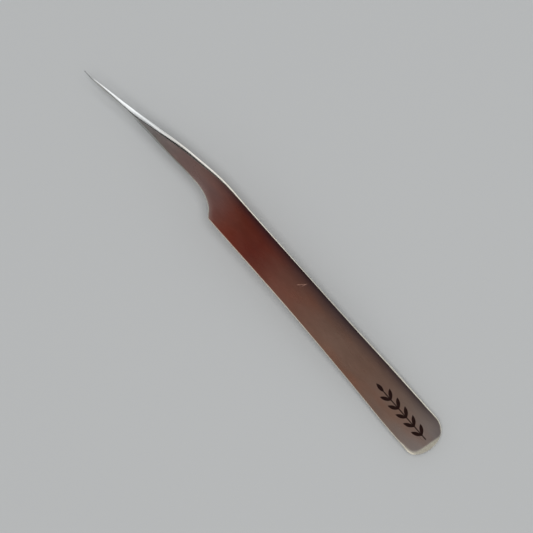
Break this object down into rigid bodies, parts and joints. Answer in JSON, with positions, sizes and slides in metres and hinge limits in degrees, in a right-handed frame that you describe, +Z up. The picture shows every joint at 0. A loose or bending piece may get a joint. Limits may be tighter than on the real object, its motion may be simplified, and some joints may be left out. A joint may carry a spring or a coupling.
{
  "type": "pointed lash tweezers",
  "caption": "Flat stainless-steel tweezers with a notched heel and long, fine points that sweep to one side; two sprung arms bow apart from a welded root.",
  "frame": {"origin": "on the table that the tool lies on, under the middle of its bounding box", "axes": "+X from the butt end to the points; +Y across the handle, towards the notched side; +Z up, with the rear arm lying on the table and the front arm on top"},
  "size_m": [0.1202, 0.0106, 0.0131],
  "materials": {
    "arm_steel": "satin stainless steel, with fine grinding lines along the needle",
    "spacer_steel": "satin stainless steel, ground flush at its edges",
    "weld_metal": "fused stainless steel, hidden inside the root"
  },
  "bodies": {
    "root": {"front_arm_tail": "arm_steel", "rear_arm_tail": "arm_steel", "root_spacer": "spacer_steel", "spot_welds": "weld_metal"},
    "front_arm": {"front_arm": "arm_steel"},
    "rear_arm": {"rear_arm": "arm_steel"}
  },
  "joints": [
    {"name": "front_arm_flex", "type": "hinge", "parent": "root", "child": "front_arm", "pos_m": [-0.04408, -0.00003, 0.00346], "axis": [0, 1, 0], "range_deg": [0, 2.37], "stiffness_Nm_per_rad": 1.3},
    {"name": "rear_arm_flex", "type": "hinge", "parent": "root", "child": "rear_arm", "pos_m": [-0.04396, -0.00003, 0.00131], "axis": [0, 1, 0], "range_deg": [-2.37, 0], "stiffness_Nm_per_rad": 1.3}
  ],
  "couplings": [
    {"joint": "rear_arm_flex", "follows": "front_arm_flex", "ratio": -1}
  ]
}
